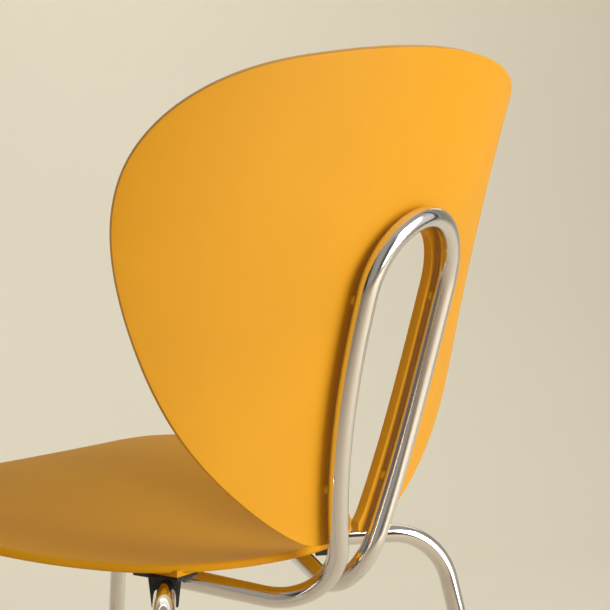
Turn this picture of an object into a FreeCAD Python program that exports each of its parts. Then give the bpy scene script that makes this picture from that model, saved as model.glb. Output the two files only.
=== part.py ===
"""Stacking chair: a moulded seat shell and a moulded back shell on a frame of bent round tube.

Millimetres. +Z is up, the sitter faces -Y, the sitter's left is +X. The origin is on the floor,
under the middle of the chair. Each sub-part is one STEP file in parts/.
"""
import FreeCAD, Part
import math
import os

Vector = FreeCAD.Vector

# ---------------------------------------------------------------- sizes
# Frame tube
tube_d = 16.0
tube_wall = 1.5
tube_r = tube_d / 2

# Rear leg tube: two legs, two shoulder bends, two arms that meet in a bend under the seat
rear_arm_z = 398.0            # height of the arms' centre line
rear_apex_y = 18.0            # where the two arms' centre lines would meet
rear_shoulder_x = 187.0
rear_shoulder_y = 167.0
rear_foot_x = 239.0
rear_foot_y = 247.0
rear_shoulder_bend = 54.0     # centre-line radius
rear_apex_bend = 60.0

# Front leg tube
front_arm_z = 414.0
front_apex_y = -18.0
front_shoulder_x = 183.5
front_shoulder_y = -192.0
front_foot_x = 234.0
front_foot_y = -259.0
front_shoulder_bend = 54.0
front_apex_bend = 60.0

# Saddles: a flat plate under the seat with a clip body that hugs the tube
saddle_rear_reach = 137.0     # along the arm, from the apex point
saddle_front_reach = 150.0
saddle_plate_length = 42.0    # front to rear
saddle_plate_width = 24.0
saddle_plate = 3.6            # thickness
saddle_web = 3.0              # plate's top above the top of the tube
saddle_wall = 4.3             # each side of the tube
saddle_length = 24.0          # along the tube
saddle_ear = 13.5             # ear tips, below the tube's centre
saddle_clearance = 0.1        # round the tube
saddle_corner = 5.0           # of the plate
saddle_body_corner = 2.5

# Screws from the saddle plates into the seat
seat_screw_d = 4.0
seat_screw_head_d = 7.6
seat_screw_head = 2.2
seat_screw_length = 9.0
seat_screw_pitch = 30.0       # centre to centre, along the plate
insert_d = 6.0
insert_length = 6.4
screw_clearance = 0.25        # round the shank, in plates and shells
fit_clearance = 0.03          # round a thread or a pressed insert

# Seat shell
seat_thickness = 6.5
seat_half_width = 240.0
seat_rear_y = 167.0
seat_rear_z = 418.0
seat_low_y = 105.0            # lowest point of the seat on the centre line
seat_low_z = 415.5
seat_mid_y = -30.0
seat_mid_z = 433.0
seat_crest_y = -165.0
seat_crest_z = 448.0
seat_front_y = -232.0
seat_front_z = 436.0
seat_side_rise = 11.0         # of the sides above the centre line, in the rear half
seat_side_rise_mid = 16.0     # the same, in the middle
seat_side_rise_crest = 4.0    # the same, at the crest and the front lip
seat_rim_round = 2.4

# Back shell: its rear face leans and wraps round the sitter
back_thickness = 6.5
back_half_width = 240.0
back_top_z = 788.0
back_bottom_z = 426.0
back_base_z = 450.0           # height at which the next three are given
back_base_y = 199.0
back_lean = 0.208             # run per rise
back_wrap_base = 470.0        # radius of the wrap round the sitter
back_wrap_top = 340.0         # the same, at the top edge
back_bow_r = 2250.0           # radius of the backward curve, seen from the side
back_rim_round = 2.2
back_lobe_corner = 9.0        # inner corner of each lobe, at the open end of the slot

# Back loop: hairpin tube behind the slot, then forward under the seat to the rear arms
loop_gap = 1.8                # between tube and shell
loop_half_width = 54.3        # centre line, at the top arc
loop_top_z = 672.0            # centre line of the top arc
loop_base_z = 430.0           # the legs run straight from here down
loop_base_half = 27.4
loop_base_flare = 0.34        # sideways run per rise at the base
loop_elbow_z = 370.0          # where the leg and the forward run would meet
loop_elbow_bend = 48.0
loop_joint_reach = 100.0      # along the rear arm, from its apex point, to the welded end
arc_tolerance = 0.02          # how closely the arcs follow the hairpin's curve

# Slot in the back shell
slot_inset = 10.5             # from the tube's centre line in to the slot's edge
slot_inset_base = 14.5        # the same, at the slot's open end

# Fixings between back shell and loop
back_fix_high_z = 610.0
back_fix_low_z = 470.0
back_screw_d = 5.0
back_screw_head_d = 9.5
back_screw_head = 2.6
back_screw_socket = 3.0       # across flats
back_spacer_d = 8.0

# Foot glides
glide_d = 22.0
glide_pad = 3.0               # thickness of the part that touches the floor
glide_neck = 9.0              # height of the tapered neck above it
glide_stem = 18.0             # pushed up inside the leg
glide_stem_clearance = 0.15


# ---------------------------------------------------------------- curves and surfaces
def hermite(a, b, slope_a, slope_b, t):
    """Cubic from a to b with the given end slopes, for t from 0 to 1."""
    return (a * (2 * t ** 3 - 3 * t ** 2 + 1) + slope_a * (t ** 3 - 2 * t ** 2 + t)
            + b * (3 * t ** 2 - 2 * t ** 3) + slope_b * (t ** 3 - t ** 2))


def spline(points, start=None, end=None):
    curve = Part.BSplineCurve()
    if start is None:
        curve.interpolate(Points=points)
    else:
        curve.interpolate(Points=points, InitialTangent=start, FinalTangent=end)
    return curve


def back_point(x, z):
    """Point on the rear face of the back shell."""
    rise = z - back_base_z
    wrap = back_wrap_base + (back_wrap_top - back_wrap_base) * rise / (back_top_z - back_base_z)
    y = back_base_y + back_lean * rise + rise ** 2 / (2 * back_bow_r)
    return Vector(x, y - wrap + math.sqrt(wrap ** 2 - x ** 2), z)


def back_normal(x, z):
    """Outward normal of the rear face: backwards and a little down."""
    step = 1.0
    across = back_point(x + step, z) - back_point(x - step, z)
    upward = back_point(x, z + step) - back_point(x, z - step)
    normal = upward.cross(across)
    normal.normalize()
    return normal


def mirrored(shape):
    return shape.mirror(Vector(0, 0, 0), Vector(1, 0, 0))


def mirrored_wire(edges):
    """Closed wire from the edges of its +X half."""
    return Part.Wire(Part.__sortEdges__(edges + [mirrored(e) for e in edges]))


def moved(shape, offset):
    copy = shape.copy()
    copy.translate(offset)
    return copy


# ---------------------------------------------------------------- tubes
def bent_path(points, radii):
    """Straight runs through the points, joined by bends of the given centre-line radii."""
    edges = []
    start = points[0]
    for before, corner, after, radius in zip(points, points[1:], points[2:], radii):
        back = (before - corner).normalize()
        ahead = (after - corner).normalize()
        half = back.getAngle(ahead) / 2
        trim = radius / math.tan(half)
        centre_line = (back + ahead).normalize()
        middle = corner + centre_line * (radius / math.sin(half) - radius)
        first = corner + back * trim
        last = corner + ahead * trim
        edges.append(Part.makeLine(start, first))
        edges.append(Part.Arc(first, middle, last).toShape())
        start = last
    edges.append(Part.makeLine(start, points[-1]))
    return edges


def swept(edges, radius):
    """Round bar of the given radius along the edges."""
    path = Part.Wire(edges)
    first = edges[0]
    start = first.valueAt(first.FirstParameter)
    direction = first.tangentAt(first.FirstParameter)
    profile = Part.Wire([Part.makeCircle(radius, start, direction)])
    return path.makePipeShell([profile], True, False)


def tube(edges):
    return swept(edges, tube_r).cut(swept(edges, tube_r - tube_wall))


def leg_path(apex_y, shoulder_x, shoulder_y, arm_z, foot_x, foot_y, shoulder_bend, apex_bend):
    """Foot, shoulder, apex, shoulder, foot. The tube ends are where the glides' necks begin."""
    shoulder = Vector(shoulder_x, shoulder_y, arm_z)
    foot = Vector(foot_x, foot_y, 0)
    end = foot + (shoulder - foot) * ((glide_pad + glide_neck) / arm_z)
    points = [end, shoulder, Vector(0, apex_y, arm_z)]
    points += [Vector(-p.x, p.y, p.z) for p in (shoulder, end)]
    return bent_path(points, [shoulder_bend, apex_bend, shoulder_bend])


def rear_leg_path():
    return leg_path(rear_apex_y, rear_shoulder_x, rear_shoulder_y, rear_arm_z,
                    rear_foot_x, rear_foot_y, rear_shoulder_bend, rear_apex_bend)


def front_leg_path():
    return leg_path(front_apex_y, front_shoulder_x, front_shoulder_y, front_arm_z,
                    front_foot_x, front_foot_y, front_shoulder_bend, front_apex_bend)


def rear_arm_direction():
    return Vector(rear_shoulder_x, rear_shoulder_y - rear_apex_y, 0).normalize()


def front_arm_direction():
    return Vector(front_shoulder_x, front_shoulder_y - front_apex_y, 0).normalize()


# ---------------------------------------------------------------- back loop
def loop_arc_z():
    return loop_top_z - loop_half_width


def loop_half(z):
    """Half the distance between the legs' centre lines."""
    span = loop_arc_z() - loop_base_z
    return hermite(loop_base_half, loop_half_width, loop_base_flare * span, 0, (z - loop_base_z) / span)


def loop_point(x, z):
    """Centre of the tube behind the point (x, z) of the back shell."""
    return back_point(x, z) + back_normal(x, z) * (loop_gap + tube_r)


def loop_outline(inset_base=0.0, inset=0.0, legs=7, arc=5):
    """Front-view points of the +X half, from the base to the top, moved in by the inset."""
    points = []
    for i in range(legs):
        z = loop_base_z + (loop_arc_z() - loop_base_z) * i / legs
        here = inset + (inset_base - inset) * (1 - i / legs) ** 3
        points.append((loop_half(z) - here, z))
    radius = loop_half_width - inset
    for i in range(arc + 1):
        angle = math.pi / 2 * i / arc
        points.append((radius * math.cos(angle), loop_arc_z() + radius * math.sin(angle)))
    return points


def loop_legs():
    """Centre line of the hairpin, from base to base, as a chain of arcs."""
    half = [loop_point(x, z) for x, z in loop_outline(legs=4, arc=3)]
    run = loop_run()
    points = half + [Vector(-p.x, p.y, p.z) for p in reversed(half[:-1])]
    curve = spline(points, run, Vector(run.x, -run.y, -run.z))
    return [arc.toShape() for arc in curve.toBiArcs(arc_tolerance)]


def loop_run():
    """Upward direction of the +X leg at the base."""
    low, high = (loop_point(loop_half(z), z) for z in (loop_base_z, loop_base_z + 1))
    return (high - low).normalize()


def loop_forward_run():
    """Centre line of the +X forward run, from the rear arm to the base of the leg."""
    base = loop_point(loop_half(loop_base_z), loop_base_z)
    run = loop_run()
    elbow = base - run * ((base.z - loop_elbow_z) / run.z)
    end = Vector(0, rear_apex_y, rear_arm_z) + rear_arm_direction() * loop_joint_reach
    return bent_path([end, elbow, base], [loop_elbow_bend])


def back_fixings():
    """Where a screw axis meets the rear face, and the direction out of it."""
    spots = []
    for z in (back_fix_high_z, back_fix_low_z):
        for side in (1, -1):
            x = side * loop_half(z)
            spots.append((back_point(x, z), back_normal(x, z)))
    return spots


def back_loop_tube():
    run = tube(loop_forward_run()).cut(swept(rear_leg_path(), tube_r))
    run = max(run.Solids, key=lambda solid: solid.Volume)
    legs = tube(loop_legs())
    for spot, normal in back_fixings():
        hole = Part.makeCylinder(back_screw_d / 2 + fit_clearance, loop_gap + tube_r, spot, normal)
        legs = legs.cut(hole)
    return legs.fuse([run, mirrored(run)])


# ---------------------------------------------------------------- legs
def rear_leg_tube():
    return tube(rear_leg_path())


def front_leg_tube():
    return tube(front_leg_path())


def apex_centre(apex_y, arm_z, direction, bend):
    """Centre of the tube in the middle of an apex bend."""
    half = math.atan2(abs(direction.x), abs(direction.y))
    return Vector(0, apex_y + math.copysign(bend / math.sin(half) - bend, direction.y), arm_z)


def centre_strut():
    """Short tube welded between the two apex bends."""
    rear = apex_centre(rear_apex_y, rear_arm_z, rear_arm_direction(), rear_apex_bend)
    front = apex_centre(front_apex_y, front_arm_z, front_arm_direction(), front_apex_bend)
    strut = tube([Part.makeLine(rear, front)])
    strut = strut.cut(swept(rear_leg_path(), tube_r)).cut(swept(front_leg_path(), tube_r))
    return max(strut.Solids, key=lambda solid: solid.Volume)


# ---------------------------------------------------------------- saddles
def rear_saddle_centre():
    return Vector(0, rear_apex_y, rear_arm_z) + rear_arm_direction() * saddle_rear_reach


def front_saddle_centre():
    return Vector(0, front_apex_y, front_arm_z) + front_arm_direction() * saddle_front_reach


def rounded_plate(length, width, corner, thickness):
    """Plate centred on the origin, its top at z = 0."""
    plate = Part.makeBox(width, length, thickness, Vector(-width / 2, -length / 2, -thickness))
    uprights = [e for e in plate.Edges if abs(e.tangentAt(e.FirstParameter).z) > 0.9]
    return plate.makeFillet(corner, uprights)


def screw_spots(centre, top):
    """Screw axes of one saddle, at the plate's top."""
    return [Vector(centre.x, centre.y + side * seat_screw_pitch / 2, top) for side in (1, -1)]


def plate_top(arm_z):
    return arm_z + tube_r + saddle_web


def saddle(centre, direction):
    """Plate and clip for the tube whose centre line passes through centre along direction."""
    top = tube_r + saddle_web
    plate = rounded_plate(saddle_plate_length, saddle_plate_width, saddle_corner, saddle_plate)
    plate.translate(Vector(0, 0, top))
    side = tube_r + saddle_wall
    tip = tube_r + saddle_wall * 0.35
    profile = [(-side, top - 1), (side, top - 1), (side, -4), (tip + 1, -saddle_ear), (tip, -saddle_ear)]
    mouth = tube_r - 1.0
    profile += [(mouth, -4.2), (-mouth, -4.2)]
    profile += [(-tip, -saddle_ear), (-tip - 1, -saddle_ear), (-side, -4)]
    points = [Vector(0, x, z) for x, z in profile]
    body = Part.Face(Part.makePolygon(points + points[:1])).extrude(Vector(saddle_length, 0, 0))
    body.translate(Vector(-saddle_length / 2, 0, 0))
    rounding = rounded_plate(2 * side, saddle_length, saddle_body_corner, 2 * (top + saddle_ear))
    rounding.translate(Vector(0, 0, top + saddle_ear))
    body = body.common(rounding)
    bore = Part.makeCylinder(tube_r + saddle_clearance, 2 * saddle_length, Vector(-saddle_length, 0, 0),
                             Vector(1, 0, 0))
    body = body.cut(bore)
    turn = math.degrees(math.atan2(direction.y, direction.x))
    body.rotate(Vector(0, 0, 0), Vector(0, 0, 1), turn)
    bore.rotate(Vector(0, 0, 0), Vector(0, 0, 1), turn)
    shape = plate.fuse(body).cut(bore)
    for spot in screw_spots(Vector(0, 0, 0), top):
        hole = Part.makeCylinder(seat_screw_d / 2 + screw_clearance, 3 * saddle_plate,
                                 spot - Vector(0, 0, 2 * saddle_plate))
        sink = Part.makeCone(seat_screw_head_d / 2 + screw_clearance, seat_screw_d / 2 + screw_clearance,
                             seat_screw_head, spot - Vector(0, 0, saddle_plate))
        shape = shape.cut(hole).cut(sink)
    shape = shape.removeSplitter()
    shape.translate(centre)
    return shape


def saddle_centres():
    """Name, centre and arm direction of each saddle."""
    rear, front = rear_saddle_centre(), front_saddle_centre()
    rear_arm, front_arm = rear_arm_direction(), front_arm_direction()
    other = lambda v: Vector(-v.x, v.y, v.z)
    return [("saddle_rear_left", rear, rear_arm), ("saddle_rear_right", other(rear), other(rear_arm)),
            ("saddle_front_left", front, front_arm), ("saddle_front_right", other(front), other(front_arm))]


def all_screw_spots():
    spots = []
    for _, centre, _ in saddle_centres():
        spots += screw_spots(centre, plate_top(centre.z))
    return spots


def seat_screw(spot):
    """Countersunk screw, head down, with a cross slot."""
    low = spot - Vector(0, 0, saddle_plate)
    head = Part.makeCone(seat_screw_head_d / 2, seat_screw_d / 2, seat_screw_head, low)
    shank = Part.makeCylinder(seat_screw_d / 2, seat_screw_length, low)
    screw = head.fuse(shank)
    for length, width in ((4.4, 0.9), (0.9, 4.4)):
        slot = Part.makeBox(length, width, 1.2, low - Vector(length / 2, width / 2, 0.2))
        screw = screw.cut(slot)
    return screw.removeSplitter()


def seat_screws():
    return Part.makeCompound([seat_screw(spot) for spot in all_screw_spots()])


def seat_inserts():
    inserts = []
    for spot in all_screw_spots():
        outer = Part.makeCylinder(insert_d / 2, insert_length, spot)
        inner = Part.makeCylinder(seat_screw_d / 2 + fit_clearance, insert_length, spot)
        inserts.append(outer.cut(inner))
    return Part.makeCompound(inserts)


# ---------------------------------------------------------------- seat shell
def seat_profile():
    """y, z and side rise along the centre line of the seat's top, from the rear edge to the front lip."""
    rear, mid, crest = seat_side_rise, seat_side_rise_mid, seat_side_rise_crest
    return [(seat_rear_y + 20, seat_rear_z + 3, rear), (seat_rear_y, seat_rear_z, rear),
            (seat_low_y, seat_low_z, rear), (seat_mid_y, seat_mid_z, mid), (seat_crest_y, seat_crest_z, crest),
            (seat_front_y, seat_front_z, crest), (seat_front_y - 15, seat_front_z - 9, crest)]


def seat_surface():
    across = 6
    grid = []
    for y, z, rise in seat_profile():
        row = []
        for i in range(-across, across + 1):
            x = 1.1 * seat_half_width * i / across
            row.append(Vector(x, y, z + rise * (x / seat_half_width) ** 2))
        grid.append(row)
    surface = Part.BSplineSurface()
    surface.interpolate(grid)
    return surface.toShape()


def seat_outline():
    """Plan outline: a closed curve through stations from the rear to the front, on both sides."""
    length = seat_rear_y - seat_front_y
    stations = ((0.0, 0.0), (0.155, 0.012), (0.36, 0.062), (0.53, 0.135), (0.68, 0.232), (0.86, 0.375),
                (0.965, 0.53), (1.0, 0.69), (0.955, 0.865), (0.76, 0.962), (0.42, 0.993), (0.0, 1.0))
    half = [Vector(seat_half_width * x, seat_rear_y - length * y, 0) for x, y in stations]
    curve = Part.BSplineCurve()
    curve.interpolate(Points=half + [Vector(-p.x, p.y, 0) for p in reversed(half[1:-1])], PeriodicFlag=True)
    return Part.Wire([curve.toShape()])


def thick_shell(surface, cutter, thickness, rim_round):
    """Thicken the surface away from its normal, trim it with the cutter and round the rim."""
    slab = surface.makeOffsetShape(-thickness, 1e-3, fill=True)
    solid = slab.common(cutter).Solids[0]
    big = sorted(solid.Faces, key=lambda face: face.Area)[-2:]
    rim = [edge for face in big for edge in face.OuterWire.Edges]
    return solid.makeFillet(rim_round, rim)


def seat_shell():
    cutter = Part.Face(seat_outline()).extrude(Vector(0, 0, 2 * seat_crest_z))
    shell = thick_shell(seat_surface(), cutter, seat_thickness, seat_rim_round)
    reach = seat_low_z
    below = moved(seat_surface(), Vector(0, 0, -seat_thickness / 2)).extrude(Vector(0, 0, -reach))
    for _, centre, _ in saddle_centres():
        column = rounded_plate(saddle_plate_length, saddle_plate_width, saddle_corner, reach)
        foot = Vector(centre.x, centre.y, plate_top(centre.z))
        shell = shell.cut(moved(column, foot))
        shell = shell.fuse(moved(column, foot + Vector(0, 0, reach)).common(below))
    for spot in all_screw_spots():
        shell = shell.cut(Part.makeCylinder(insert_d / 2 + fit_clearance, insert_length, spot))
    return shell


# ---------------------------------------------------------------- back shell
def back_surface():
    """The front face, a little larger than the shell on all sides."""
    across, up = 6, 10
    grid = []
    for i in range(-across, across + 1):
        x = 1.25 * back_half_width * i / across
        row = []
        for j in range(up + 1):
            z = back_bottom_z - 25 + (back_top_z - back_bottom_z + 55) * j / up
            row.append(back_point(x, z) - back_normal(x, z) * back_thickness)
        grid.append(row)
    surface = Part.BSplineSurface()
    surface.interpolate(grid)
    return surface.toShape()


def slot_base():
    """Half width of the slot where the lobes' corners begin."""
    return loop_base_half - slot_inset_base


def back_outline():
    """Front-view points of the +X half, curve by curve: outer edge, lobe corner, slot edge."""
    height = back_top_z - back_bottom_z
    corner = back_lobe_corner
    stations = ((0.0, 1.0), (0.25, 0.9935), (0.55, 0.967), (0.76, 0.928), (0.905, 0.86), (0.98, 0.775),
                (1.0, 0.678), (0.968, 0.55), (0.9, 0.43), (0.735, 0.253), (0.525, 0.124), (0.3, 0.031),
                (0.17, 0.001))
    outer = [(back_half_width * x, back_bottom_z + height * z) for x, z in stations]
    outer.append((slot_base() + corner, back_bottom_z))
    bend = []
    for i in range(5):
        angle = math.pi / 2 * (1 - i / 4)
        across, up = corner * (1 - math.cos(angle)), corner * (1 - math.sin(angle))
        bend.append((slot_base() + across, back_bottom_z + up))
    slot = [(slot_base(), back_bottom_z + corner)]
    slot += [(x, z) for x, z in loop_outline(slot_inset_base, slot_inset) if z > slot[0][1] + 8]
    return [outer, bend, slot]


def back_rim(level):
    """The outline carried along the shell's normals to the upright plane y = level."""
    half = []
    for curve in back_outline():
        points = []
        for x, z in curve:
            point, normal = back_point(x, z), back_normal(x, z)
            points.append(point + normal * ((level - point.y) / normal.y))
        half.append(points)
    other = [[Vector(-p.x, p.y, p.z) for p in reversed(points)] for points in reversed(half)]
    return Part.Wire([spline(points).toShape() for points in half + other])


def back_shell():
    before = back_point(back_half_width, back_bottom_z).y - 60
    behind = back_point(0, back_top_z).y + 50
    cutter = Part.makeLoft([back_rim(before), back_rim(behind)], True, True)
    shell = thick_shell(back_surface(), cutter, back_thickness, back_rim_round)
    for spot, normal in back_fixings():
        hole = Part.makeCylinder(back_screw_d / 2 + screw_clearance, 3 * back_thickness,
                                 spot - normal * 2 * back_thickness, normal)
        shell = shell.cut(hole)
    return shell


def back_spacers():
    """Collars between shell and tube, one on each screw."""
    spacers = []
    for spot, normal in back_fixings():
        centre = spot + normal * (loop_gap + tube_r)
        side = math.copysign(1, spot.x)
        along = loop_point(side * loop_half(spot.z + 1), spot.z + 1) - centre
        outer = Part.makeCylinder(back_spacer_d / 2, loop_gap + tube_r, spot, normal)
        inner = Part.makeCylinder(back_screw_d / 2 + screw_clearance, loop_gap + tube_r, spot, normal)
        length = 3 * back_spacer_d
        saddle_cut = Part.makeCylinder(tube_r, length, centre - along.normalize() * (length / 2), along)
        collar = outer.cut(inner).cut(saddle_cut)
        spacers.append(max(collar.Solids, key=lambda solid: solid.Volume))
    return Part.makeCompound(spacers)


def back_screws():
    """Button-head screws, put in from the sitter's side."""
    screws = []
    for spot, normal in back_fixings():
        seat = spot - normal * (back_thickness + 0.1)
        radius = back_screw_head_d / 2
        dome = (radius ** 2 + back_screw_head ** 2) / (2 * back_screw_head)
        ball = Part.makeSphere(dome, seat + normal * (dome - back_screw_head))
        head = Part.makeCylinder(radius, back_screw_head, seat, normal * -1).common(ball)
        shank = Part.makeCylinder(back_screw_d / 2, back_thickness + loop_gap + tube_wall + 4, seat, normal)
        socket = Part.makeCylinder(back_screw_socket / 2, 1.6, seat - normal * back_screw_head, normal)
        screws.append(head.fuse(shank).cut(socket))
    return Part.makeCompound(screws)


# ---------------------------------------------------------------- feet
def foot_glide(shoulder, foot):
    """Glide in line with the leg: flat pad on the floor, tapered neck, stem inside the tube."""
    axis = (shoulder - foot).normalize()
    end = foot + (shoulder - foot) * ((glide_pad + glide_neck) / shoulder.z)
    pad = Part.makeCylinder(glide_d / 2, glide_pad, foot + axis * 0)
    length = (end - foot).Length
    neck = Part.makeCone(glide_d / 2 - 1.0, tube_r, length, foot, axis)
    stem = Part.makeCylinder(tube_r - tube_wall - glide_stem_clearance, glide_stem + 1, end - axis, axis)
    below = Part.makeBox(4 * glide_d, 4 * glide_d, 2 * glide_d, foot - Vector(2 * glide_d, 2 * glide_d, 2 * glide_d))
    return pad.fuse(neck).fuse(stem).cut(below).removeSplitter()


def foot_glides():
    rear = Vector(rear_shoulder_x, rear_shoulder_y, rear_arm_z), Vector(rear_foot_x, rear_foot_y, 0)
    front = Vector(front_shoulder_x, front_shoulder_y, front_arm_z), Vector(front_foot_x, front_foot_y, 0)
    glides = {"glide_rear_left": foot_glide(*rear), "glide_front_left": foot_glide(*front)}
    glides["glide_rear_right"] = mirrored(glides["glide_rear_left"])
    glides["glide_front_right"] = mirrored(glides["glide_front_left"])
    return glides


# ---------------------------------------------------------------- assembly
def build():
    nodes = {
        "seat_shell": seat_shell(),
        "back_shell": back_shell(),
        "back_loop_tube": back_loop_tube(),
        "rear_leg_tube": rear_leg_tube(),
        "front_leg_tube": front_leg_tube(),
        "centre_strut": centre_strut(),
        "seat_screws": seat_screws(),
        "seat_inserts": seat_inserts(),
        "back_screws": back_screws(),
        "back_spacers": back_spacers(),
    }
    for name, centre, direction in saddle_centres():
        nodes[name] = saddle(centre, direction)
    nodes.update(foot_glides())
    return nodes


def main():
    os.makedirs("parts", exist_ok=True)
    nodes = build()
    rear_most = nodes["back_shell"].optimalBoundingBox(False).YMax
    front_most = nodes["glide_front_left"].optimalBoundingBox(False).YMin
    shift = Vector(0, -(rear_most + front_most) / 2, 0)
    for name, shape in nodes.items():
        moved(shape, shift).exportStep("parts/%s.step" % name)


main()
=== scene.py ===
"""Stacking chair: the looks of the moulded shells, the chromed tube frame and its small parts.

Millimetres in the properties, metres in the scene. +Z is up, the sitter faces -Y.
"""

import math

import bmesh
import bpy
import numpy as np
from bpy.props import FloatProperty, FloatVectorProperty, PointerProperty
from mathutils import Matrix, Vector


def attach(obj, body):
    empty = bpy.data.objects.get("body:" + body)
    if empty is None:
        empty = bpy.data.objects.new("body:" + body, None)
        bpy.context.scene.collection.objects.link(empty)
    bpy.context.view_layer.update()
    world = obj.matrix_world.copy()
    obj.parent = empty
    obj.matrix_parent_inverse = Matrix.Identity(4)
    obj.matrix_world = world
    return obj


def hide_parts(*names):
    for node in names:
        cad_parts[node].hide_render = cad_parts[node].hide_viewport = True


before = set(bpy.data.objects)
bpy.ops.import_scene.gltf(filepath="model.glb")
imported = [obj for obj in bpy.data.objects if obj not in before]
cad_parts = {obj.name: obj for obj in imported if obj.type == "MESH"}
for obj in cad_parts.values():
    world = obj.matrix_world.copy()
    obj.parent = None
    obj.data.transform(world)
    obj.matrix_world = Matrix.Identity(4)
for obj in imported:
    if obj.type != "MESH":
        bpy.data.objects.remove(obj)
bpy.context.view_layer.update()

MM = 0.001
MIRROR = np.array([-1, 1, 1])           # the chair is the same on both sides of x = 0
HANDS = ((1, "left"), (-1, "right"))
RIM_ANGLE = 55                          # edges sharper than this, in degrees, get the rounded rim
PLATE_CORNER = 5.0                      # upright corners of the saddle plates and the seat's bosses

bl_info = {
    "name": "Stacking chair",
    "version": (1, 0, 0),
    "blender": (4, 5, 0),
    "location": "View3D > Sidebar > Chair",
    "description": "Moulded shells on a bent chromed tube frame",
    "category": "Object",
}


def size(name, default, description):
    """A length property in millimetres."""
    return FloatProperty(name=name, default=default, description=description + ", in millimetres")


def spot(name, default, description):
    """A place in plan, in millimetres."""
    return FloatVectorProperty(name=name, default=default, size=2,
                               description=description + " in plan, in millimetres")


def colour(name, default, description):
    """A colour property."""
    return FloatVectorProperty(name=name, default=default, description=description, subtype="COLOR",
                               size=3, min=0.0, max=1.0)


# ---------------------------------------------------------------- properties
class CHAIR_PG_frame(bpy.types.PropertyGroup):
    tube: size("Tube", 16.0, "Outside diameter of every tube")
    rear_arm_z: size("Rear arm height", 398.0, "Centre line of the rear arms")
    rear_apex_y: size("Rear apex", 5.96, "Where the rear arms' centre lines meet, front to rear")
    rear_shoulder: spot("Rear shoulder", (187.0, 154.96), "Corner of the rear leg's centre line")
    rear_foot: spot("Rear foot", (239.0, 234.96), "Rear foot")
    front_arm_z: size("Front arm height", 414.0, "Centre line of the front arms")
    front_apex_y: size("Front apex", -30.04, "Where the front arms' centre lines meet, front to rear")
    front_shoulder: spot("Front shoulder", (183.5, -204.04), "Corner of the front leg's centre line")
    front_foot: spot("Front foot", (234.0, -271.04), "Front foot")
    shoulder_bend: size("Shoulder bend", 54.0, "Centre-line radius of the shoulder bends")
    apex_bend: size("Apex bend", 60.0, "Centre-line radius of the bends under the seat")
    chrome: colour("Chrome", (0.80, 0.79, 0.77), "Colour of the plating")


class CHAIR_PG_loop(bpy.types.PropertyGroup):
    gap: size("Gap", 1.8, "Between the loop and the back shell")
    half_width: size("Half width", 54.3, "Half the distance between the legs at the top arc")
    top_z: size("Top", 672.0, "Height of the top arc's centre line")
    base_z: size("Base", 430.0, "Height at which the legs turn straight")
    base_half: size("Half width at the base", 27.4, "Half the distance between the legs at the base")
    flare: FloatProperty(name="Flare", default=0.34, description="Sideways run per rise at the base")
    elbow_z: size("Elbow", 370.0, "Height where the leg and the forward run would meet")
    elbow_bend: size("Elbow bend", 48.0, "Centre-line radius of the elbows")
    joint_reach: size("Joint reach", 100.0, "Along the rear arm, to the welded end")


class CHAIR_PG_back(bpy.types.PropertyGroup):
    thickness: size("Thickness", 6.5, "Thickness of the back shell")
    half_width: size("Half width", 240.0, "Half the width of the back")
    top_z: size("Top", 786.3, "Upper edge of the rear face")
    bottom_z: size("Bottom", 426.0, "Lower edge of the lobes")
    base_z: size("Base height", 450.0, "Height at which lean and wrap are given")
    base_y: size("Base", 186.96, "Rear face at the base height, front to rear")
    lean: FloatProperty(name="Lean", default=0.208, description="Run per rise at the base height")
    wrap_base: size("Wrap at the base", 470.0, "Radius of the wrap round the sitter at the base")
    wrap_top: size("Wrap at the top", 340.0, "Radius of the wrap round the sitter at the top")
    bow: size("Bow", 2250.0, "Radius of the backward curve seen from the side")
    rim: size("Rim rounding", 2.3, "Radius of the rounded rim")
    corner: size("Lobe corner", 9.0, "Inner corner of each lobe")
    slot_inset: size("Slot inset", 10.5, "From the loop's centre line to the slot's edge")
    slot_inset_base: size("Slot inset at the base", 14.5, "The same at the slot's open end")
    fix_high_z: size("Upper fixing", 610.0, "Height of the upper screws")
    fix_low_z: size("Lower fixing", 470.0, "Height of the lower screws")


class CHAIR_PG_seat(bpy.types.PropertyGroup):
    thickness: size("Thickness", 6.5, "Thickness of the seat shell")
    half_width: size("Half width", 240.0, "Half the width of the seat")
    rear_y: size("Rear edge", 154.96, "Rear edge, front to rear")
    front_y: size("Front edge", -244.04, "Front edge, front to rear")
    rear_z: size("Rear height", 418.0, "Height of the rear edge on the centre line")
    low_z: size("Lowest height", 415.5, "Height of the lowest point on the centre line")
    mid_z: size("Middle height", 433.0, "Height in the middle of the centre line")
    crest_z: size("Crest height", 448.0, "Height of the crest on the centre line")
    front_z: size("Front height", 436.0, "Height of the front lip on the centre line")
    side_rise: size("Side rise", 11.0, "Rise of the sides above the centre line, in the rear half")
    side_rise_mid: size("Side rise, middle", 16.0, "The same, in the middle")
    side_rise_crest: size("Side rise, crest", 4.0, "The same, at the crest and the front lip")
    rim: size("Rim rounding", 2.4, "Radius of the rounded rim")
    low_back: size("Lowest point", 62.0, "From the rear edge to the lowest point")
    mid_back: size("Middle", 197.0, "From the rear edge to the middle station")
    crest_back: size("Crest", 67.0, "From the front edge to the crest")


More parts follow.
